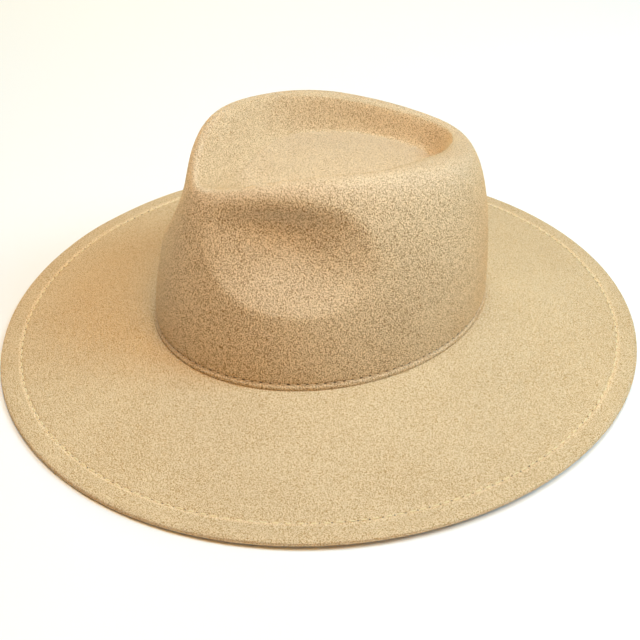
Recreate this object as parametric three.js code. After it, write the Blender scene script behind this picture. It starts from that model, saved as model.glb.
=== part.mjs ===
import * as THREE from "three";

// Felt rancher hat, standing on its brim. Millimetres, +Z up, front towards -Y.
// The origin is on the surface that the hat stands on, below the middle of the crown's base.

// Head opening and crown
const crownWidth = 171;
const crownLength = 205;
const crownHeight = 109;
const crownFelt = 2;
const crestRoundness = 3.7;
const leanCurve = 1.5;

// Brim, measured outwards from the crown
const brimSideReach = 94.5;
const brimFrontReach = 89.5;
const brimDrop = 16.8;
const brimFelt = 1.6;
const brimSweep = 1.35;

// Turned-under hem with the flat ring that the hat stands on
const hemWidth = 12;
const restingBand = 6.5;

// Seam between crown and brim
const collarHeight = 9;
const seamClearance = 0.3;

// Pinch dents, one on each side of the front. Each is deepest at its angle and middle, reaches a
// different way to the front and the back, and slants towards the front at its top. The shares are
// of the crown's height.
const pinchDepth = 11.5;
const pinchAngle = 46;
const pinchFrontAngle = 34;
const pinchBackAngle = 33;
const pinchTiltAngle = 22;
const pinchMiddleShare = 0.71;
const pinchDownShare = 0.32;
const pinchUpShare = 0.26;
const pinchRoundness = 2.3;
const pinchCurve = 1.55;
const pinchSoftness = 1.2;

// Floor of the top dent, as shares of the crown's height: middle, slope to the back, sag to both ends
const dentFloor = { middleShare: 0.79, slopeShare: -0.095, sagShare: -0.1 };
const shoulderCurve = 0.85;

// The crown's crest by the angle from the front. Reach is a share of the base oval, height a share of
// the crown's height, slope the share of the reach that the dent's side takes, and lean the share of
// the wall's inward travel that is a plain lean; the crest's round takes the rest.
const crestTable = [
  { angle: 0, reach: 0.75, height: 0.87, slope: 0.38, lean: 0.75 },
  { angle: 15, reach: 0.7, height: 0.895, slope: 0.33, lean: 0.72 },
  { angle: 35, reach: 0.65, height: 0.96, slope: 0.38, lean: 0.66 },
  { angle: 60, reach: 0.62, height: 1, slope: 0.34, lean: 0.55 },
  { angle: 90, reach: 0.615, height: 0.975, slope: 0.24, lean: 0.48 },
  { angle: 120, reach: 0.61, height: 0.925, slope: 0.14, lean: 0.25 },
  { angle: 150, reach: 0.7, height: 0.85, slope: 0.12, lean: 0.25 },
  { angle: 180, reach: 0.81, height: 0.8, slope: 0.16, lean: 0.27 },
];

// Mesh density
const segments = 64;
const wallRings = 16;
const wallCrowding = 1.7;
const slopeRings = 6;
const floorRings = 4;
const brimRings = 7;
const edgeArcSteps = 4;

const hemThickness = 2 * brimFelt;
const seamHeight = hemThickness + brimDrop;

function smoothstep(value) {
  const share = Math.min(Math.max(value, 0), 1);
  return share * share * (3 - 2 * share);
}

// Smooth curve through one column of the crest table, mirrored at the front and the back.
function crestValue(column, angle) {
  const folded = Math.abs(((angle + 180) % 360) - 180);
  const last = crestTable.length - 1;
  let row = 0;
  while (row < last - 1 && folded > crestTable[row + 1].angle) {
    row += 1;
  }
  const mirrored = (index) => {
    if (index < 0) {
      return { angle: -crestTable[-index].angle, value: crestTable[-index][column] };
    }
    if (index > last) {
      const twin = crestTable[2 * last - index];
      return { angle: 360 - twin.angle, value: twin[column] };
    }
    return { angle: crestTable[index].angle, value: crestTable[index][column] };
  };
  const before = mirrored(row - 1);
  const start = mirrored(row);
  const end = mirrored(row + 1);
  const after = mirrored(row + 2);
  const span = end.angle - start.angle;
  const t = (folded - start.angle) / span;
  const startSlope = ((end.value - before.value) / (end.angle - before.angle)) * span;
  const endSlope = ((after.value - start.value) / (after.angle - start.angle)) * span;
  return (
    (2 * t ** 3 - 3 * t ** 2 + 1) * start.value +
    (t ** 3 - 2 * t ** 2 + t) * startSlope +
    (3 * t ** 2 - 2 * t ** 3) * end.value +
    (t ** 3 - t ** 2) * endSlope
  );
}

// Point on the crown's base oval; angle 0 is the front, 90 is +X.
function basePoint(angle) {
  const radians = THREE.MathUtils.degToRad(angle);
  return new THREE.Vector2(
    (crownWidth / 2) * Math.sin(radians),
    (-crownLength / 2) * Math.cos(radians),
  );
}

// How far the pinch dent pushes the wall inwards at a height above the seam.
function pinchAt(angle, height) {
  const folded = Math.abs(((angle + 180) % 360) - 180);
  const rise = height / crownHeight - pinchMiddleShare;
  const turn = folded - pinchAngle + pinchTiltAngle * rise;
  const up = Math.abs(rise) / (rise < 0 ? pinchDownShare : pinchUpShare);
  const around = Math.abs(turn) / (turn < 0 ? pinchFrontAngle : pinchBackAngle);
  const reach = (up ** pinchRoundness + around ** pinchRoundness) ** (1 / pinchRoundness);
  const distance = Math.min(reach, 1);
  return pinchDepth * (1 - distance ** pinchCurve) ** pinchSoftness;
}

// Outer wall point; share runs from 0 at the lip to 1 on the crest.
function wallPoint(angle, share) {
  const base = basePoint(angle);
  const lean = crestValue("lean", angle);
  const round = 1 - (1 - share ** crestRoundness) ** (1 / crestRoundness);
  const travel = lean * share ** leanCurve + (1 - lean) * round;
  const height = crownHeight * crestValue("height", angle) * share;
  const scale = 1 - (1 - crestValue("reach", angle)) * travel;
  const plan = base.clone().multiplyScalar(scale);
  plan.addScaledVector(base.clone().normalize(), -pinchAt(angle, height));
  return new THREE.Vector3(plan.x, plan.y, seamHeight + height);
}

// Point in the top dent; share runs from 0 on the crest to 1 in the middle of its floor.
function dentPoint(angle, share) {
  const crest = wallPoint(angle, 1);
  const x = crest.x * (1 - share);
  const y = crest.y * (1 - share);
  const back = y / (crownLength / 2);
  const floorShare = dentFloor.middleShare + dentFloor.slopeShare * back + dentFloor.sagShare * back ** 2;
  const floorHeight = seamHeight + crownHeight * floorShare;
  const down = Math.max(share / crestValue("slope", angle), 0);
  const sink = smoothstep(down ** shoulderCurve);
  return new THREE.Vector3(x, y, THREE.MathUtils.lerp(crest.z, floorHeight, sink));
}

function angles() {
  return Array.from({ length: segments }, (_, index) => (360 * index) / segments);
}

// Rings of the crown's outer surface: up the wall, closer together near the crest, then down the
// side of the top dent and over its floor.
function crownRings() {
  const rings = [];
  for (let ring = 0; ring <= wallRings; ring += 1) {
    const share = 1 - (1 - ring / wallRings) ** wallCrowding;
    rings.push(angles().map((angle) => wallPoint(angle, share)));
  }
  for (let ring = 1; ring <= slopeRings; ring += 1) {
    const share = ring / slopeRings;
    rings.push(angles().map((angle) => dentPoint(angle, share * crestValue("slope", angle))));
  }
  for (let ring = 1; ring < floorRings; ring += 1) {
    const share = ring / floorRings;
    rings.push(
      angles().map((angle) => {
        const foot = crestValue("slope", angle);
        return dentPoint(angle, THREE.MathUtils.lerp(foot, 1, share));
      }),
    );
  }
  return rings;
}

// Outward direction at one vertex of a grid of rings, from its neighbours.
function gridNormal(rings, ring, index) {
  const row = rings[ring];
  const after = row[(index + 1) % segments];
  const before = row[(index + segments - 1) % segments];
  const above = rings[Math.min(ring + 1, rings.length - 1)][index];
  const below = rings[Math.max(ring - 1, 0)][index];
  const around = after.clone().sub(before);
  const along = above.clone().sub(below);
  return around.cross(along).normalize();
}

// The crown's inner surface, one felt thickness behind the outer one; its lip stays level.
function innerRings(rings) {
  return rings.map((row, ring) =>
    row.map((point, index) => {
      const normal = gridNormal(rings, ring, index);
      if (ring === 0) {
        normal.setZ(0).normalize();
      }
      return point.clone().addScaledVector(normal, -crownFelt);
    }),
  );
}

// Closed body from a chain of rings. The chain ends in two poles, or closes on itself without them.
function chainGeometry(rings, startPole, endPole) {
  const vertices = rings.flat();
  const faces = [];
  const bands = startPole ? rings.length - 1 : rings.length;
  for (let ring = 0; ring < bands; ring += 1) {
    const next = (ring + 1) % rings.length;
    for (let index = 0; index < segments; index += 1) {
      const beside = (index + 1) % segments;
      const a = ring * segments + index;
      const b = ring * segments + beside;
      const c = next * segments + beside;
      const d = next * segments + index;
      faces.push(a, b, c, a, c, d);
    }
  }
  if (startPole) {
    const start = vertices.push(startPole) - 1;
    const end = vertices.push(endPole) - 1;
    const top = (rings.length - 1) * segments;
    for (let index = 0; index < segments; index += 1) {
      const beside = (index + 1) % segments;
      faces.push(start, beside, index);
      faces.push(top + index, top + beside, end);
    }
  }
  const geometry = new THREE.BufferGeometry();
  geometry.setAttribute(
    "position",
    new THREE.Float32BufferAttribute(vertices.flatMap((point) => point.toArray()), 3),
  );
  geometry.setIndex(faces);
  geometry.computeVertexNormals();
  return geometry;
}

function crownGeometry() {
  const outer = crownRings();
  const inner = innerRings(outer);
  const middle = dentPoint(0, 1);
  const under = middle.clone().setZ(middle.z - crownFelt);
  return chainGeometry([...inner.reverse(), ...outer], under, middle);
}

// Point on the brim in plan: share 0 on the crown's base oval, 1 on the brim's edge.
function brimPlan(angle, share) {
  const radians = THREE.MathUtils.degToRad(angle);
  const edge = new THREE.Vector2(
    (crownWidth / 2 + brimSideReach) * Math.sin(radians),
    -(crownLength / 2 + brimFrontReach) * Math.cos(radians),
  );
  return basePoint(angle).lerp(edge, share);
}

// Share of the brim at a distance in from its edge.
function shareFromEdge(angle, distance) {
  const reach = brimPlan(angle, 1).distanceTo(brimPlan(angle, 0));
  return 1 - distance / reach;
}

// Top of the brim: steeper at the crown, nearly level at the edge.
function brimTop(share) {
  const open = Math.max(1 - share, 0);
  return hemThickness + (brimDrop - seamClearance) * open ** brimSweep;
}

function brimPoint(angle, share, height) {
  const plan = brimPlan(angle, share);
  return new THREE.Vector3(plan.x, plan.y, height);
}

// Collar point: set in from the crown's wall by an offset, at a height above the seam.
function collarPoint(angle, offset, height) {
  const share = height / (crownHeight * crestValue("height", angle));
  const wall = wallPoint(angle, Math.max(share, 0));
  const radians = THREE.MathUtils.degToRad(angle);
  const outward = new THREE.Vector2(
    Math.sin(radians) / crownWidth,
    -Math.cos(radians) / crownLength,
  ).normalize();
  return new THREE.Vector3(
    wall.x - outward.x * offset,
    wall.y - outward.y * offset,
    seamHeight + height,
  );
}

function brimRingsFor() {
  const rings = [];
  const ringOf = (point) => rings.push(angles().map(point));
  const edgeRadius = hemThickness / 2;
  const collarOuter = crownFelt + seamClearance;
  const collarInner = collarOuter + brimFelt;
  const seamTop = brimTop(0) - seamHeight;

  for (let ring = 0; ring < brimRings; ring += 1) {
    const share = 1 - ring / brimRings;
    ringOf((angle) => {
      const place = share * shareFromEdge(angle, edgeRadius);
      return brimPoint(angle, place, brimTop(place));
    });
  }
  ringOf((angle) => collarPoint(angle, 0, seamTop));
  ringOf((angle) => collarPoint(angle, collarOuter, seamTop));
  ringOf((angle) => collarPoint(angle, collarOuter, collarHeight));
  ringOf((angle) => collarPoint(angle, collarInner, collarHeight));
  ringOf((angle) => collarPoint(angle, collarInner, seamTop + brimFelt / 2));
  ringOf((angle) => collarPoint(angle, collarInner - brimFelt / 2, seamTop - brimFelt / 2));
  ringOf((angle) => collarPoint(angle, collarOuter - brimFelt / 2, seamTop - brimFelt));
  for (let ring = 1; ring < brimRings; ring += 1) {
    ringOf((angle) => {
      const place = (ring / brimRings) * shareFromEdge(angle, hemWidth);
      return brimPoint(angle, place, brimTop(place) - brimFelt);
    });
  }
  for (const layers of [brimFelt, hemThickness]) {
    ringOf((angle) => {
      const place = shareFromEdge(angle, hemWidth);
      return brimPoint(angle, place, brimTop(place) - layers);
    });
  }
  ringOf((angle) => brimPoint(angle, shareFromEdge(angle, edgeRadius + restingBand), 0));
  for (let step = 0; step < edgeArcSteps; step += 1) {
    const turn = (Math.PI * step) / edgeArcSteps;
    const inset = edgeRadius * (1 - Math.sin(turn));
    const height = edgeRadius * (1 - Math.cos(turn));
    ringOf((angle) => brimPoint(angle, shareFromEdge(angle, inset), height));
  }
  return rings;
}

function feltMaterial(color) {
  return new THREE.MeshStandardMaterial({ color, roughness: 0.95, metalness: 0 });
}

const crown = new THREE.Mesh(crownGeometry(), feltMaterial("#cbae85"));
crown.name = "crown";

const brim = new THREE.Mesh(chainGeometry(brimRingsFor()), feltMaterial("#d1b58c"));
brim.name = "brim";

const hat = new THREE.Group();
hat.add(crown, brim);

export default hat;
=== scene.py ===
"""Felt rancher hat: pressed crown, wide stitched brim, soft studio light.

Lengths are in millimetres until a mesh is made, in the frame of the solid model:
+Z up, front towards -Y, origin on the surface that the hat stands on.
"""
import math

import bpy
import numpy as np
from mathutils import Matrix, Vector


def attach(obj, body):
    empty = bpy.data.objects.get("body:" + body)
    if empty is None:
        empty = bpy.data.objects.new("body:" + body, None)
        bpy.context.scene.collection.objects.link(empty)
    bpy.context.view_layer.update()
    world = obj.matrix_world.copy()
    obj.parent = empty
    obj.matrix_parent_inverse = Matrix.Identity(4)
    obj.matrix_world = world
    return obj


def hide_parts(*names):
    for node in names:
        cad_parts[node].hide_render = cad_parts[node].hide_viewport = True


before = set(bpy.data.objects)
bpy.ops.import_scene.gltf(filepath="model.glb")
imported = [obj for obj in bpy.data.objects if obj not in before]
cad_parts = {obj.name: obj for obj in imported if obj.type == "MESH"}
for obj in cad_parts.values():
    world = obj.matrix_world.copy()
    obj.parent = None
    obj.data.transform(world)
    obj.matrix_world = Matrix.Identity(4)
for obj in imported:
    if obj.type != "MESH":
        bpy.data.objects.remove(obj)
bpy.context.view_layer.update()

MM = 0.001

# Crown and brim sizes of the solid model
CROWN_WIDTH = 171.0
CROWN_LENGTH = 205.0
CROWN_HEIGHT = 109.0
CROWN_FELT = 2.0
CREST_ROUNDNESS = 3.7
LEAN_CURVE = 1.5
BRIM_SIDE_REACH = 94.5
BRIM_FRONT_REACH = 89.5
BRIM_DROP = 16.8
BRIM_FELT = 1.6
BRIM_SWEEP = 1.35
HEM_WIDTH = 12.0
COLLAR_HEIGHT = 9.0
SEAM_CLEARANCE = 0.3
HEM_THICKNESS = 2 * BRIM_FELT
SEAM_HEIGHT = HEM_THICKNESS + BRIM_DROP

# Pinch dents beside the front: place, reach each way, and the form of the hollow
PINCH_DEPTH = 12.5
PINCH_ANGLE = 46.0
PINCH_FRONT_ANGLE = 34.0
PINCH_BACK_ANGLE = 33.0
PINCH_TILT = 22.0
PINCH_MIDDLE = 0.71
PINCH_DOWN = 0.32
PINCH_UP = 0.26
PINCH_OUTLINE = 2.3
PINCH_CONE = 1.55
PINCH_SOFTNESS = 1.2
PINCH_FADE = 0.81

# Floor of the top dent, as shares of the crown's height
FLOOR_MIDDLE = 0.79
FLOOR_SLOPE = -0.095
FLOOR_SAG = -0.1
DENT_SHOULDER = 0.85

# Crest by the angle from the front: reach, height, dent slope and lean, as in the solid model
CREST = [
    (0, 0.75, 0.87, 0.38, 0.75),
    (15, 0.70, 0.895, 0.33, 0.72),
    (35, 0.65, 0.96, 0.38, 0.66),
    (60, 0.62, 1.0, 0.34, 0.55),
    (90, 0.615, 0.975, 0.24, 0.48),
    (120, 0.61, 0.925, 0.14, 0.25),
    (150, 0.70, 0.85, 0.12, 0.25),
    (180, 0.81, 0.80, 0.16, 0.27),
]
REACH, HEIGHT, SLOPE, LEAN = 1, 2, 3, 4

# What the felt does that the solids leave out: the crown's lip and seam
LIP_ROUND = 0.4
LIP_CORNERS = [(0.0, 1.3), (-0.3, 0.3), (-1.0, 0.0)]
LIP_ROLL = 0.6
LIP_ROLL_STEEPNESS = 1.6
LIP_SETTLE = 0.25
SEAM_STITCH_HEIGHT = 3.3
SEAM_GROOVE = 0.35
GROOVE_WIDTH = 0.9

# The brim's rise to both sides, its hem and its folded edge
SIDE_LIFT = 3.0
SIDE_LIFT_CURVE = 1.6
HEM_GROOVE = 0.45
UNDER_GROOVE_SHARE = 0.6
HEM_PUFF = 0.35
HEM_PUFF_CURVE = 0.8
EDGE_GROOVE = 0.4
EDGE_GROOVE_TURN = 1.75
EDGE_GROOVE_SPREAD = 0.2
COLLAR_ROUND = 0.4

# Step of the folded hem on the underside: where it ends, where the single felt starts,
# and the depths between them in felt thicknesses
HEM_STEP_END = 0.7
HEM_STEP_SIDE = 1.1
HEM_STEP_START = 1.2
HEM_STEP_DEPTHS = (1.15, 1.6, 1.9)

# Slow unevenness of the felt: its height, and where it fades out near the seam and the hem
FELT_WAVE = 0.25
WAVE_START = 4.0
WAVE_FADE = 12.0
BRIM_WAVE_FADE = 3.0
BRIM_WAVE_STOP = 2.0

# Fineness of the meshes
CROWN_ANGLES = 288
CROWN_WALL_STEPS = 76
CREST_GATHERING = 1.5
CROWN_SLOPE_STEPS = 36
CROWN_FLOOR_STEPS = 22
LIP_FINE_START = 0.75
LIP_FINE_STEP = 0.25
LIP_FINE_HEIGHT = 6.0
BRIM_ANGLES = 384
HEM_FINE_STEP = 0.36
HEM_FINE_END = 2.5
BRIM_TOP_START = 2.6
BRIM_TOP_STEPS = 62
BRIM_UNDER_STEPS = 40
HEM_UNDER_STEPS = 14
EDGE_STEPS = 30
SEAM_PATH_ANGLES = 720
HEM_PATH_ANGLES = 1080

# Thread, and the needle holes between its stitches, whose dark colour is painted shade
THREAD_RADIUS = 0.3
SEAM_STITCH_PITCH = 4.9
SEAM_STITCH_LENGTH = 3.6
HEM_STITCH_PITCH = 6.0
HEM_STITCH_LENGTH = 4.0
STITCH_BOW = 0.55
STITCH_RISE = 0.2
STITCH_TAPER = 0.7
STITCH_FLATNESS = 1.25
STITCH_SIDES = 8
STITCH_SECTIONS = 7
STITCH_SHIFT = 0.06
STITCH_LENGTH_RANGE = (0.92, 1.06)
SEAM_HOLE = (1.0, 0.62)
SEAM_HOLE_RISE = 0.35
HEM_HOLE = (0.5, 0.36)
HOLE_SIDES = 10
HOLE_RINGS = [(1.0, -0.12), (0.8, 0.08), (0.4, 0.12)]
HOLE_SHIFT = 0.05
HOLE_SIZE_RANGE = (0.8, 1.1)
SEAM_THREAD = (0.74, 0.55, 0.34)
HEM_THREAD = (0.98, 0.82, 0.50)
# Painted shade of the hollow needle holes
HOLE_SHADE_COLOR = (0.10, 0.055, 0.025)

# Felt colours: the light and the dark fibres of the crown and of the brim
CROWN_TONES = ((0.92, 0.715, 0.46), (0.19, 0.075, 0.005))
BRIM_TONES = ((0.82, 0.65, 0.435), (0.44, 0.265, 0.105))

# Painted light on felt that faces upwards and on the top dent's wall: how much grain contrast it
# keeps and how much lighter it is, against the felt of the walls
CROWN_PAINTED_LIGHT_CONTRAST = 0.6
CROWN_PAINTED_LIGHT_GAIN = (1.24, 1.29, 1.43)
BRIM_PAINTED_LIGHT_CONTRAST = 1.0
BRIM_PAINTED_LIGHT_GAIN = (1.01, 1.02, 1.03)
DENT_WALL_PAINTED_LIGHT_GAIN = (1.16, 1.18, 1.23)
PLAIN_GAIN = (1.0, 1.0, 1.0)

# The felt's grain: noise scales per metre, their shares in the tone, and the relief
MATTED_SCALE = 1600.0
FIBRE_SCALE = 2500.0
CLOUD_SCALE = 24.0
FIBRE_SHARE = 0.8
CLOUD_SHARE = 0.12
TONE_OFFSET = -0.46
TONE_RANGE = (0.28, 0.6)
GRAIN_RELIEF = 0.4
# Painted light on upward faces starts and is full at these upward shares of the felt's normal
PAINTED_LIGHT_FROM, PAINTED_LIGHT_FULL = 0.2, 0.8
# Painted light on the top dent's wall starts and is full at these values, in mm, of the felt's
# level normal times its place towards the crown's middle
DENT_WALL_PAINTED_LIGHT_FROM, DENT_WALL_PAINTED_LIGHT_FULL = 2.0, -12.0

# Camera that took the picture: a point it looks at, its direction and its lens
CAMERA_TARGET = (56.4, -39.5, 50.0)
CAMERA_AZIMUTH = 56.7
CAMERA_ELEVATION = 36.3
CAMERA_DISTANCE = 551.0
CAMERA_ROLL = 0.74
CAMERA_FOCAL_PIXELS = 1042.0
PICTURE_PIXELS = 640
SENSOR_WIDTH = 36.0

# Soft square lamps, in metres: name, azimuth, elevation, power in watts and color
LAMPS = [
    ("key", 135, 45, 16.8, (0.27, 0.71, 1.00)),
    ("top", 60, 85, 14.0, (0.60, 0.86, 1.00)),
    ("back", 247.5, 25, 8.0, (1.00, 0.90, 0.55)),
    ("side", 90, 65, 12.6, (1.00, 0.49, 0.00)),
]
LAMP_SIZE = 0.7
LAMP_DISTANCE = 1.6
LAMP_TARGET = (0.0, 0.0, 0.05)
SURROUNDING_COLOR = (1.00, 0.63, 0.35, 1.0)
SURROUNDING_STRENGTH = 0.258
FLOOR_HALF = 6.0
FLOOR_COLOR = (0.91, 0.93, 0.98)


def smoothstep(value):
    """Smooth rise from 0 to 1."""
    share = np.clip(value, 0.0, 1.0)
    return share * share * (3 - 2 * share)


def crest_value(column, angle):
    """Smooth curve through one column of CREST, mirrored at the front and the back."""
    rows = np.array(CREST, dtype=float)
    angles = np.concatenate([[-rows[1, 0]], rows[:, 0], [360 - rows[-2, 0]]])
    values = np.concatenate([[rows[1, column]], rows[:, column], [rows[-2, column]]])
    folded = np.abs((angle + 180) % 360 - 180)
    row = np.clip(np.searchsorted(rows[:, 0], folded, side="right") - 1, 0, len(rows) - 2)
    span = angles[row + 2] - angles[row + 1]
    t = (folded - angles[row + 1]) / span
    start_slope = (values[row + 2] - values[row]) / (angles[row + 2] - angles[row]) * span
    end_slope = (values[row + 3] - values[row + 1]) / (angles[row + 3] - angles[row + 1]) * span
    return (
        (2 * t**3 - 3 * t**2 + 1) * values[row + 1]
        + (t**3 - 2 * t**2 + t) * start_slope
        + (3 * t**2 - 2 * t**3) * values[row + 2]
        + (t**3 - t**2) * end_slope
    )


def base_oval(angle):
    """Oval of the crown's base; angle 0 is the front, 90 is +X."""
    radians = np.radians(angle)
    return np.stack(
        [CROWN_WIDTH / 2 * np.sin(radians), -CROWN_LENGTH / 2 * np.cos(radians)], axis=-1
    )


def oval_outward(angle):
    """Level directions away from the base oval."""
    radians = np.radians(angle)
    outward = np.stack([np.sin(radians) / CROWN_WIDTH, -np.cos(radians) / CROWN_LENGTH], axis=-1)
    return outward / np.linalg.norm(outward, axis=-1, keepdims=True)


def pinch_at(angle, height):
    """Depth of the slanted pinch dent, with its nearly straight flanks."""
    folded = np.abs((angle + 180) % 360 - 180)
    rise = height / CROWN_HEIGHT - PINCH_MIDDLE
    turn = folded - PINCH_ANGLE + PINCH_TILT * rise
    around = turn / np.where(turn < 0, PINCH_FRONT_ANGLE, PINCH_BACK_ANGLE)
    up = rise / np.where(rise < 0, PINCH_DOWN, PINCH_UP)
    distance = (np.abs(around) ** PINCH_OUTLINE + np.abs(up) ** PINCH_OUTLINE) ** (
        1 / PINCH_OUTLINE
    )
    return PINCH_DEPTH * (1 - np.clip(distance, 0, 1) ** PINCH_CONE) ** PINCH_SOFTNESS


def wall_ring(angle, share):
    """Ring of the crown's outer wall; share 0 is the lip, 1 the crest."""
    base = base_oval(angle)
    lean = crest_value(LEAN, angle)
    rounding = 1 - (1 - share**CREST_ROUNDNESS) ** (1 / CREST_ROUNDNESS)
    travel = lean * share**LEAN_CURVE + (1 - lean) * rounding
    height = CROWN_HEIGHT * crest_value(HEIGHT, angle) * share
    plan = base * (1 - (1 - crest_value(REACH, angle)) * travel)[:, None]
    round_crest = smoothstep((share - PINCH_FADE) / (1 - PINCH_FADE))
    inward = pinch_at(angle, height) * (1 - round_crest)
    inward += SEAM_GROOVE * np.exp(-(((height - SEAM_STITCH_HEIGHT) / GROOVE_WIDTH) ** 2))
    below_seam = (SEAM_STITCH_HEIGHT - height) / SEAM_STITCH_HEIGHT
    inward -= LIP_ROLL * smoothstep(below_seam * LIP_ROLL_STEEPNESS)
    plan -= base / np.linalg.norm(base, axis=-1, keepdims=True) * inward[:, None]
    return np.column_stack([plan, SEAM_HEIGHT + height])


def dent_ring(angle, share):
    """Ring of the top dent; share 0 is the crest, 1 the middle of the dent's floor."""
    crest = wall_ring(angle, 1.0)
    plan = crest[:, :2] * (1 - share)[:, None]
    back = plan[:, 1] / (CROWN_LENGTH / 2)
    floor = CROWN_HEIGHT * (FLOOR_MIDDLE + FLOOR_SLOPE * back + FLOOR_SAG * back**2)
    sink = smoothstep(np.clip(share / crest_value(SLOPE, angle), 0, 1) ** DENT_SHOULDER)
    height = crest[:, 2] * (1 - sink) + (SEAM_HEIGHT + floor) * sink
    return np.column_stack([plan, height])


def ring_angles(count):
    """Evenly spaced angles of one ring, in degrees."""
    return np.arange(count) * 360.0 / count


def grid_normals(rings):
    """Outward directions of a stack of rings, from the neighbours of each point."""
    around = np.roll(rings, -1, axis=1) - np.roll(rings, 1, axis=1)
    along = np.gradient(rings, axis=0)
    normals = np.cross(around, along)
    return normals / np.linalg.norm(normals, axis=-1, keepdims=True)


def felt_wave(rings):
    """Slow unevenness of pressed felt, the same on every run."""
    x, y, z = rings[..., 0], rings[..., 1], rings[..., 2]
    wave = np.sin(x / 17.0 + 0.6 * np.sin(y / 23.0)) * np.cos(y / 19.0 + z / 31.0)
    wave += 0.6 * np.sin(x / 9.0 - z / 13.0 + 1.1) * np.sin(y / 11.0 + 2.3)
    return FELT_WAVE * wave


def joined_mesh(name, vertices, faces):
    """Mesh object from arrays of points in millimetres and faces."""
    mesh = bpy.data.meshes.new(name)
    mesh.from_pydata((np.array(vertices) * MM).tolist(), [], faces)
    mesh.polygons.foreach_set("use_smooth", [True] * len(mesh.polygons))
    mesh.update()
    piece = bpy.data.objects.new(name, mesh)
    bpy.context.scene.collection.objects.link(piece)
    return piece


def ring_mesh(name, rings, poles=None):
    """Mesh object from a chain of rings, closed by two poles or joined end to end."""
    count = rings.shape[1]
    vertices = rings.reshape(-1, 3)
    ring_count = len(rings)
    bands = ring_count - 1 if poles is not None else ring_count
    index = np.arange(count)
    beside = (index + 1) % count
    faces = []
    for band in range(bands):
        lower = band * count
        upper = (band + 1) % ring_count * count
        quads = np.stack([lower + index, lower + beside, upper + beside, upper + index], axis=-1)
        faces.extend(quads.tolist())
    if poles is not None:
        start = len(vertices)
        top = (ring_count - 1) * count
        vertices = np.vstack([vertices, poles])
        faces.extend(np.stack([np.full(count, start), beside, index], axis=-1).tolist())
        end = np.full(count, start + 1)
        faces.extend(np.stack([top + index, top + beside, end], axis=-1).tolist())
    return joined_mesh(name, vertices, faces)


def make_crown():
    """Crown shell: inner wall from the dent's underside down, lip, outer wall, top dent."""
    angle = ring_angles(CROWN_ANGLES)
    outer = []
    rise = CROWN_HEIGHT * crest_value(HEIGHT, angle)
    for height in np.arange(LIP_FINE_START, LIP_FINE_HEIGHT, LIP_FINE_STEP):
        outer.append(wall_ring(angle, height / rise))
    first = LIP_FINE_HEIGHT / rise
    for step in range(CROWN_WALL_STEPS + 1):
        spread = 1 - (1 - step / CROWN_WALL_STEPS) ** CREST_GATHERING
        outer.append(wall_ring(angle, first + (1 - first) * spread))
    slope = crest_value(SLOPE, angle)
    for step in range(1, CROWN_SLOPE_STEPS + 1):
        outer.append(dent_ring(angle, slope * step / CROWN_SLOPE_STEPS))
    for step in range(1, CROWN_FLOOR_STEPS):
        outer.append(dent_ring(angle, slope + (1 - slope) * step / CROWN_FLOOR_STEPS))
    outer = np.array(outer)
    normals = grid_normals(outer)
    inner = (outer - normals * CROWN_FELT)[::-2]
    fade = smoothstep((outer[..., 2] - SEAM_HEIGHT - WAVE_START) / WAVE_FADE)
    outer = outer + normals * (felt_wave(outer) * fade)[..., None]

    lip = []
    outward = oval_outward(angle)
    base = base_oval(angle)
    corners = [(LIP_ROUND * inset, LIP_ROUND * height) for inset, height in LIP_CORNERS]
    inner_corners = [(-CROWN_FELT - x, z) for x, z in reversed(corners)]
    for inset, height in corners + inner_corners:
        plan = base + outward * (inset + LIP_ROLL)
        level = SEAM_HEIGHT + height - LIP_SETTLE
        lip.append(np.column_stack([plan, np.full(len(angle), level)]))
    rings = np.concatenate([inner, np.array(lip)[::-1], outer])
    middle = dent_ring(np.zeros(1), np.ones(1))[0]
    under = middle - np.array([0, 0, CROWN_FELT])
    return ring_mesh("felt_crown", rings, poles=[under, middle])


def brim_plan(angle, share):
    """Plan of a brim ring; share 0 is the base oval, 1 the edge."""
    radians = np.radians(angle)
    edge = np.stack(
        [
            (CROWN_WIDTH / 2 + BRIM_SIDE_REACH) * np.sin(radians),
            -(CROWN_LENGTH / 2 + BRIM_FRONT_REACH) * np.cos(radians),
        ],
        axis=-1,
    )
    share = np.broadcast_to(share, angle.shape)[:, None]
    return base_oval(angle) * (1 - share) + edge * share


def share_from_edge(angle, distance):
    """Share of the ring that lies a distance inside the brim's edge."""
    reach = np.linalg.norm(brim_plan(angle, 1.0) - brim_plan(angle, 0.0), axis=-1)
    return 1 - distance / reach


def brim_top(angle, share):
    """Top of the brim above the floor: steep at the crown, nearly level at the edge."""
    rise = (BRIM_DROP - SEAM_CLEARANCE) * np.clip(1 - share, 0, 1) ** BRIM_SWEEP
    lift = SIDE_LIFT * np.sin(np.radians(angle)) ** 2 * np.clip(share, 0, 1) ** SIDE_LIFT_CURVE
    return HEM_THICKNESS + rise + lift


def brim_ring(angle, share, below=0.0):
    """Ring on the brim's top or a depth below it, with the hem's groove and puff."""
    share = np.broadcast_to(share, angle.shape)
    from_edge = (1 - share) * np.linalg.norm(
        brim_plan(angle, 1.0) - brim_plan(angle, 0.0), axis=-1
    )
    groove = HEM_GROOVE * np.exp(-(((from_edge - HEM_WIDTH) / GROOVE_WIDTH) ** 2))
    if below > 0:
        groove = -UNDER_GROOVE_SHARE * groove
    else:
        across = np.clip(from_edge / HEM_WIDTH, 0, 1)
        groove = groove - HEM_PUFF * np.sin(np.pi * across) ** HEM_PUFF_CURVE
    height = brim_top(angle, share) - below - groove
    return np.column_stack([brim_plan(angle, share), height])


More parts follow.
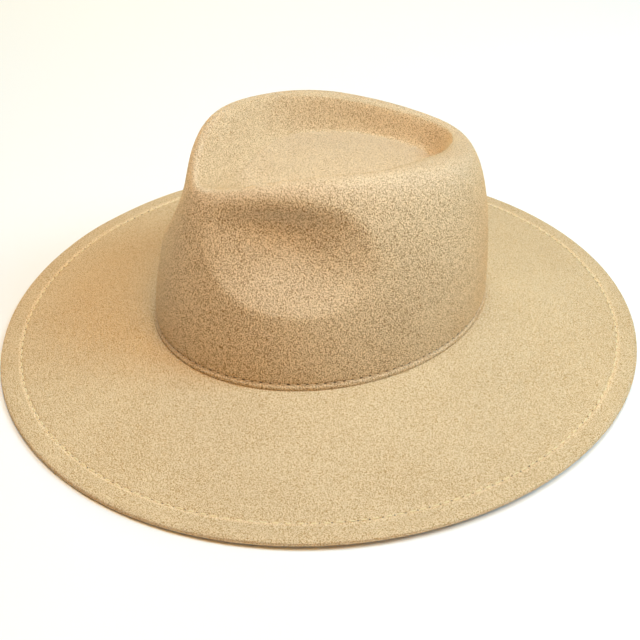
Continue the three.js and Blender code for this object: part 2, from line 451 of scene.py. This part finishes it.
def collar_ring(angle, offset, height):
    """Ring an offset inside the crown's outer wall, at a height above the seam."""
    share = np.clip(height / (CROWN_HEIGHT * crest_value(HEIGHT, angle)), 0, 1)
    base = base_oval(angle)
    travel = crest_value(LEAN, angle) * share**LEAN_CURVE
    plan = base * (1 - (1 - crest_value(REACH, angle)) * travel)[:, None]
    plan -= oval_outward(angle) * offset
    return np.column_stack([plan, np.full(len(angle), SEAM_HEIGHT + height)])


def make_brim():
    """Brim: hem and top inwards, up and down the collar, back along the underside."""
    angle = ring_angles(BRIM_ANGLES)
    edge_radius = HEM_THICKNESS / 2
    rim_share = share_from_edge(angle, edge_radius)
    rings = []
    for distance in np.arange(edge_radius, HEM_WIDTH + HEM_FINE_END, HEM_FINE_STEP):
        rings.append(brim_ring(angle, share_from_edge(angle, distance)))
    inside_hem = share_from_edge(angle, HEM_WIDTH + BRIM_TOP_START)
    for step in range(BRIM_TOP_STEPS):
        rings.append(brim_ring(angle, inside_hem * (1 - step / BRIM_TOP_STEPS)))

    collar_outer = CROWN_FELT + SEAM_CLEARANCE
    collar_inner = collar_outer + BRIM_FELT
    seam_top = -SEAM_CLEARANCE
    half = BRIM_FELT / 2
    collar = [
        (0.0, seam_top),
        (collar_outer - COLLAR_ROUND, seam_top),
        (collar_outer, seam_top + COLLAR_ROUND),
        (collar_outer, COLLAR_HEIGHT - COLLAR_ROUND),
        (collar_outer + COLLAR_ROUND, COLLAR_HEIGHT),
        (collar_inner - COLLAR_ROUND, COLLAR_HEIGHT),
        (collar_inner, COLLAR_HEIGHT - COLLAR_ROUND),
        (collar_inner, COLLAR_HEIGHT / 2),
        (collar_inner, seam_top + half),
        (collar_inner - 0.3 * half, seam_top - 0.4 * half),
        (collar_inner - half, seam_top - half),
        (collar_outer - half, seam_top - BRIM_FELT),
    ]
    for offset, height in collar:
        rings.append(collar_ring(angle, offset, height))

    hem_share = share_from_edge(angle, HEM_WIDTH + HEM_STEP_START)
    for step in range(1, BRIM_UNDER_STEPS + 1):
        rings.append(brim_ring(angle, hem_share * step / BRIM_UNDER_STEPS, BRIM_FELT))
    step_side = share_from_edge(angle, HEM_WIDTH + HEM_STEP_SIDE)
    for depth in HEM_STEP_DEPTHS:
        rings.append(brim_ring(angle, step_side, depth * BRIM_FELT))
    start = share_from_edge(angle, HEM_WIDTH + HEM_STEP_END)
    for step in range(HEM_UNDER_STEPS):
        share = start + (rim_share - start) * step / HEM_UNDER_STEPS
        rings.append(brim_ring(angle, share, HEM_THICKNESS))
    for step in range(EDGE_STEPS):
        turn = math.pi * step / EDGE_STEPS
        from_crease = (turn - EDGE_GROOVE_TURN) / EDGE_GROOVE_SPREAD
        crease = EDGE_GROOVE * math.exp(-(from_crease**2))
        share = share_from_edge(angle, edge_radius * (1 - math.sin(turn)) + crease)
        ring = brim_ring(angle, share, HEM_THICKNESS)
        middle = brim_top(angle, rim_share) - edge_radius
        ring[:, 2] = middle - edge_radius * math.cos(turn)
        rings.append(ring)
    rings = np.array(rings)
    above_hem = rings[..., 2] - HEM_THICKNESS
    below_seam = SEAM_HEIGHT - BRIM_WAVE_STOP - rings[..., 2]
    fade = smoothstep(above_hem / BRIM_WAVE_FADE) * smoothstep(below_seam / BRIM_WAVE_FADE)
    rings[..., 2] += felt_wave(rings) * fade
    return ring_mesh("felt_brim", rings)


class ClosedPath:
    """Closed line over the felt with the felt's outward direction along it."""

    def __init__(self, points, normals):
        steps = np.linalg.norm(np.roll(points, -1, axis=0) - points, axis=-1)
        self.reach = np.concatenate([[0], np.cumsum(steps)])
        self.total = self.reach[-1]
        self.points = np.vstack([points, points[:1]])
        self.normals = np.vstack([normals, normals[:1]])

    def at(self, places):
        """Points of the line at some places along it, with the outward directions there."""
        places = np.asarray(places) % self.total
        columns = [
            np.stack([np.interp(places, self.reach, table[:, axis]) for axis in range(3)], axis=-1)
            for table in (self.points, self.normals)
        ]
        return columns[0], columns[1] / np.linalg.norm(columns[1], axis=-1, keepdims=True)


def band_faces(start, sides, bands):
    """Quads between rings of points that follow each other in one list."""
    faces = []
    for band in range(bands):
        low = start + band * sides
        high = low + sides
        for side in range(sides):
            beside = (side + 1) % sides
            faces.append((low + side, low + beside, high + beside, high + side))
    return faces


def make_stitches(name, path, pitch, length):
    """Row of short thread stitches, each bowed a little over the felt."""
    count = int(round(path.total / pitch))
    vertices = []
    faces = []
    sides = STITCH_SIDES
    sections = STITCH_SECTIONS
    random = np.random.default_rng(7)
    for stitch in range(count):
        centre = (stitch + 0.5) * path.total / count
        centre += random.uniform(-STITCH_SHIFT, STITCH_SHIFT) * pitch
        span = length * random.uniform(*STITCH_LENGTH_RANGE)
        start = len(vertices)
        points, ups = path.at(centre + span * np.linspace(-0.5, 0.5, sections))
        along = points[-1] - points[0]
        along /= np.linalg.norm(along)
        for section in range(sections):
            s = 2 * section / (sections - 1) - 1
            bow = STITCH_BOW * (1 - s**4) - STITCH_BOW + STITCH_RISE
            radius = THREAD_RADIUS * (1 - STITCH_TAPER * s**6)
            up = ups[section]
            across = np.cross(along, up)
            middle = points[section] + up * bow
            for side in range(sides):
                turn = 2 * math.pi * side / sides
                flat = STITCH_FLATNESS * across * math.cos(turn)
                vertices.append(middle + radius * (flat + up * math.sin(turn)))
        faces.extend(band_faces(start, sides, sections - 1))
        faces.append(tuple(start + side for side in reversed(range(sides))))
        last = start + (sections - 1) * sides
        faces.append(tuple(last + side for side in range(sides)))
    return joined_mesh(name, vertices, faces)


def make_holes(name, path, pitch, half_size):
    """Needle holes in the felt between the stitches, as shallow lenses at its surface, dark with
    painted shade.
    """
    count = int(round(path.total / pitch))
    vertices = []
    faces = []
    sides = HOLE_SIDES
    random = np.random.default_rng(11)
    for hole in range(count):
        place = hole * path.total / count + random.uniform(-HOLE_SHIFT, HOLE_SHIFT) * pitch
        points, ups = path.at([place - 0.5, place, place + 0.5])
        along = points[2] - points[0]
        along /= np.linalg.norm(along)
        across = np.cross(along, ups[1])
        size = random.uniform(*HOLE_SIZE_RANGE)
        start = len(vertices)
        for share, height in HOLE_RINGS:
            for side in range(sides):
                turn = 2 * math.pi * side / sides
                flat = half_size[0] * math.cos(turn) * along
                flat = flat - half_size[1] * math.sin(turn) * across
                vertices.append(points[1] + share * size * flat + height * ups[1])
        bands = len(HOLE_RINGS) - 1
        faces.extend(band_faces(start, sides, bands))
        last = start + bands * sides
        faces.append(tuple(last + side for side in range(sides)))
    return joined_mesh(name, vertices, faces)


def seam_path(height):
    """Line round the crown at a height above its lip."""
    angle = ring_angles(SEAM_PATH_ANGLES)
    points = wall_ring(angle, height / (CROWN_HEIGHT * crest_value(HEIGHT, angle)))
    normals = np.column_stack([oval_outward(angle), np.zeros(len(angle))])
    return ClosedPath(points, normals)


def hem_path(below):
    """Line round the hem, on its top or on its underside."""
    angle = ring_angles(HEM_PATH_ANGLES)
    points = brim_ring(angle, share_from_edge(angle, HEM_WIDTH), below)
    up = 1.0 if below == 0 else -1.0
    return ClosedPath(points, np.tile([0.0, 0.0, up], (len(angle), 1)))


def socket(node, name, value):
    """Constant value of one input of a shader node."""
    node.inputs[name].default_value = value


def felt_material(name, tones, painted_light_contrast, painted_light_gain):
    """Pressed felt: matted fibre grain in colour and relief, with a soft sheen, and painted light
    on upward faces and on the top dent's wall.
    """
    light, dark = tones
    material = bpy.data.materials.new(name)
    material.use_nodes = True
    nodes = material.node_tree.nodes
    links = material.node_tree.links
    shader = nodes["Principled BSDF"]
    socket(shader, "Roughness", 0.95)
    socket(shader, "Specular IOR Level", 0.15)
    socket(shader, "Sheen Weight", 1.0)
    socket(shader, "Sheen Roughness", 0.3)
    socket(shader, "Sheen Tint", (1.0, 0.74, 0.42, 1.0))
    place = nodes.new("ShaderNodeTexCoord")

    def noise(scale, detail, roughness, distortion=0.0):
        texture = nodes.new("ShaderNodeTexNoise")
        socket(texture, "Scale", scale)
        socket(texture, "Detail", detail)
        socket(texture, "Roughness", roughness)
        socket(texture, "Distortion", distortion)
        links.new(place.outputs["Object"], texture.inputs["Vector"])
        return texture.outputs["Fac"]

    def math_node(operation, first, second, third=None):
        node = nodes.new("ShaderNodeMath")
        node.operation = operation
        for slot, value in enumerate((first, second, third)):
            if value is None:
                continue
            if isinstance(value, (int, float)):
                node.inputs[slot].default_value = value
            else:
                links.new(value, node.inputs[slot])
        return node.outputs[0]

    matted = noise(MATTED_SCALE, 1.0, 0.5, 0.3)
    fibres = noise(FIBRE_SCALE, 0.0, 0.5, 0.2)
    cloud = noise(CLOUD_SCALE, 3.0, 0.5)
    grain = math_node("MULTIPLY_ADD", fibres, FIBRE_SHARE, matted)
    tone = math_node("MULTIPLY_ADD", cloud, CLOUD_SHARE, math_node("ADD", grain, TONE_OFFSET))

    def grain_ramp(contrast, gain):
        ramp = nodes.new("ShaderNodeValToRGB")
        middle = [(pale + deep) / 2 for pale, deep in zip(light, dark)]
        for element, position, color in zip(ramp.color_ramp.elements, TONE_RANGE, (dark, light)):
            element.position = position
            parts = zip(gain, middle, color)
            mixed = [share * (mid + contrast * (part - mid)) for share, mid, part in parts]
            element.color = (*mixed, 1.0)
        links.new(tone, ramp.inputs["Fac"])
        return ramp.outputs["Color"]

    # Painted light: felt that faces upwards is made lighter, with calmer grain
    facing = nodes.new("ShaderNodeSeparateXYZ")
    links.new(place.outputs["Normal"], facing.inputs[0])
    painted_top_light = nodes.new("ShaderNodeMapRange")
    painted_top_light.interpolation_type = "SMOOTHSTEP"
    socket(painted_top_light, "From Min", PAINTED_LIGHT_FROM)
    socket(painted_top_light, "From Max", PAINTED_LIGHT_FULL)
    links.new(facing.outputs["Z"], painted_top_light.inputs["Value"])
    blend = nodes.new("ShaderNodeMix")
    blend.data_type = "RGBA"
    links.new(painted_top_light.outputs[0], blend.inputs["Factor"])
    links.new(grain_ramp(1.0, PLAIN_GAIN), blend.inputs["A"])
    links.new(grain_ramp(painted_light_contrast, painted_light_gain), blend.inputs["B"])

    # Painted light on the wall of the top dent too, which faces the crown's middle
    spot = nodes.new("ShaderNodeSeparateXYZ")
    links.new(place.outputs["Object"], spot.inputs[0])
    across = math_node("MULTIPLY", facing.outputs["X"], spot.outputs["X"])
    outwards = math_node("MULTIPLY_ADD", facing.outputs["Y"], spot.outputs["Y"], across)
    painted_dent_light = nodes.new("ShaderNodeMapRange")
    painted_dent_light.interpolation_type = "SMOOTHSTEP"
    socket(painted_dent_light, "From Min", DENT_WALL_PAINTED_LIGHT_FROM * MM)
    socket(painted_dent_light, "From Max", DENT_WALL_PAINTED_LIGHT_FULL * MM)
    links.new(outwards, painted_dent_light.inputs["Value"])
    whole = nodes.new("ShaderNodeMix")
    whole.data_type = "RGBA"
    links.new(painted_dent_light.outputs[0], whole.inputs["Factor"])
    links.new(blend.outputs["Result"], whole.inputs["A"])
    links.new(grain_ramp(painted_light_contrast, DENT_WALL_PAINTED_LIGHT_GAIN), whole.inputs["B"])
    links.new(whole.outputs["Result"], shader.inputs["Base Color"])

    bump = nodes.new("ShaderNodeBump")
    socket(bump, "Strength", 1.0)
    socket(bump, "Distance", GRAIN_RELIEF * MM)
    links.new(grain, bump.inputs["Height"])
    links.new(bump.outputs["Normal"], shader.inputs["Normal"])
    return material


def thread_material(name, color):
    """Twisted thread: two tones of one colour with a fine relief."""
    material = bpy.data.materials.new(name)
    material.use_nodes = True
    nodes = material.node_tree.nodes
    links = material.node_tree.links
    shader = nodes["Principled BSDF"]
    socket(shader, "Roughness", 0.7)
    socket(shader, "Sheen Weight", 0.3)
    wave = nodes.new("ShaderNodeTexNoise")
    socket(wave, "Scale", 2600.0)
    place = nodes.new("ShaderNodeTexCoord")
    links.new(place.outputs["Object"], wave.inputs["Vector"])
    ramp = nodes.new("ShaderNodeValToRGB")
    ramp.color_ramp.elements[0].color = (*[0.72 * part for part in color], 1.0)
    ramp.color_ramp.elements[1].color = (*color, 1.0)
    links.new(wave.outputs["Fac"], ramp.inputs["Fac"])
    links.new(ramp.outputs["Color"], shader.inputs["Base Color"])
    bump = nodes.new("ShaderNodeBump")
    socket(bump, "Distance", 0.1 * MM)
    links.new(wave.outputs["Fac"], bump.inputs["Height"])
    links.new(bump.outputs["Normal"], shader.inputs["Normal"])
    return material


def plain_material(name, color, roughness):
    material = bpy.data.materials.new(name)
    material.use_nodes = True
    shader = material.node_tree.nodes["Principled BSDF"]
    socket(shader, "Base Color", (*color, 1.0))
    socket(shader, "Roughness", roughness)
    return material


def dress_hat():
    """All of the hat's pieces with their materials, slots and body."""
    crown_painted_light = (CROWN_PAINTED_LIGHT_CONTRAST, CROWN_PAINTED_LIGHT_GAIN)
    brim_painted_light = (BRIM_PAINTED_LIGHT_CONTRAST, BRIM_PAINTED_LIGHT_GAIN)
    crown_felt = felt_material("crown_felt", CROWN_TONES, *crown_painted_light)
    brim_felt = felt_material("brim_felt", BRIM_TONES, *brim_painted_light)
    seam_thread = thread_material("seam_thread", SEAM_THREAD)
    hem_thread = thread_material("hem_thread", HEM_THREAD)
    # Painted shade for the needle holes
    hole = thread_material("needle_hole_shade", HOLE_SHADE_COLOR)
    crown = make_crown()
    brim = make_brim()
    crown.data.materials.append(crown_felt)
    brim.data.materials.append(brim_felt)
    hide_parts("crown")
    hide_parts("brim")
    seam = (SEAM_STITCH_PITCH, SEAM_STITCH_LENGTH)
    hem = (HEM_STITCH_PITCH, HEM_STITCH_LENGTH)
    top = hem_path(0.0)
    under = hem_path(HEM_THICKNESS)
    lip = seam_path(SEAM_STITCH_HEIGHT)
    above_lip = seam_path(SEAM_STITCH_HEIGHT + SEAM_HOLE_RISE)
    rows = [
        (make_stitches("crown_seam_stitches", lip, *seam), seam_thread, "crown_felt"),
        (make_holes("crown_seam_hole_shade", above_lip, seam[0], SEAM_HOLE), hole, "crown_felt"),
        (make_stitches("brim_hem_stitches", top, *hem), hem_thread, "brim_felt"),
        (make_holes("brim_hem_hole_shade", top, hem[0], HEM_HOLE), hole, "brim_felt"),
        (make_stitches("brim_hem_stitches_under", under, *hem), hem_thread, "brim_felt"),
    ]
    for row, material, slot in rows:
        row.data.materials.append(material)
    for piece in (crown, brim, *[row[0] for row in rows]):
        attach(piece, "root")


def make_floor():
    """Plain pale floor under the hat, for the picture only."""
    half = FLOOR_HALF
    mesh = bpy.data.meshes.new("floor")
    corners = [(-half, -half, 0), (half, -half, 0), (half, half, 0), (-half, half, 0)]
    mesh.from_pydata(corners, [], [(0, 1, 2, 3)])
    floor = bpy.data.objects.new("floor", mesh)
    floor.data.materials.append(plain_material("pale_floor", FLOOR_COLOR, 0.9))
    bpy.context.scene.collection.objects.link(floor)


def area_light(name, place, power, color):
    """Square lamp that faces the hat."""
    light = bpy.data.lights.new(name, "AREA")
    light.shape = "RECTANGLE"
    light.size = light.size_y = LAMP_SIZE
    light.energy = power
    light.color = color
    lamp = bpy.data.objects.new(name, light)
    lamp.location = Vector(place)
    direction = Vector(LAMP_TARGET) - lamp.location
    lamp.rotation_euler = direction.to_track_quat("-Z", "Y").to_euler()
    bpy.context.scene.collection.objects.link(lamp)


def sky_place(azimuth, elevation):
    """Place of a lamp by its direction from the hat; azimuth 0 is the front, 90 is +X."""
    turn = math.radians(azimuth)
    rise = math.radians(elevation)
    reach = LAMP_DISTANCE * math.cos(rise)
    height = LAMP_DISTANCE * math.sin(rise) + LAMP_TARGET[2]
    return (reach * math.sin(turn), -reach * math.cos(turn), height)


def make_light():
    for name, azimuth, elevation, power, color in LAMPS:
        area_light(name, sky_place(azimuth, elevation), power, color)
    world = bpy.data.worlds.new("studio")
    world.use_nodes = True
    background = world.node_tree.nodes["Background"]
    socket(background, "Color", SURROUNDING_COLOR)
    socket(background, "Strength", SURROUNDING_STRENGTH)
    bpy.context.scene.world = world
    bpy.context.scene.view_settings.view_transform = "Standard"


def make_camera():
    """Camera that looks at its target from its azimuth and elevation, with a slight roll."""
    azimuth = math.radians(CAMERA_AZIMUTH)
    elevation = math.radians(CAMERA_ELEVATION)
    roll = math.radians(CAMERA_ROLL)
    back = Vector(
        (
            math.sin(azimuth) * math.cos(elevation),
            -math.cos(azimuth) * math.cos(elevation),
            math.sin(elevation),
        )
    )
    level_right = (-back).cross(Vector((0, 0, 1))).normalized()
    level_up = level_right.cross(-back)
    right = math.cos(roll) * level_right + math.sin(roll) * level_up
    up = math.cos(roll) * level_up - math.sin(roll) * level_right
    data = bpy.data.cameras.new("camera")
    data.sensor_width = SENSOR_WIDTH
    data.lens = SENSOR_WIDTH * CAMERA_FOCAL_PIXELS / PICTURE_PIXELS
    data.clip_start = 0.01
    camera = bpy.data.objects.new("camera", data)
    place = (Vector(CAMERA_TARGET) + back * CAMERA_DISTANCE) * MM
    matrix = Matrix((right, up, back)).transposed().to_4x4()
    matrix.translation = place
    camera.matrix_world = matrix
    bpy.context.scene.collection.objects.link(camera)
    bpy.context.scene.camera = camera


make_camera()
dress_hat()
make_floor()
make_light()
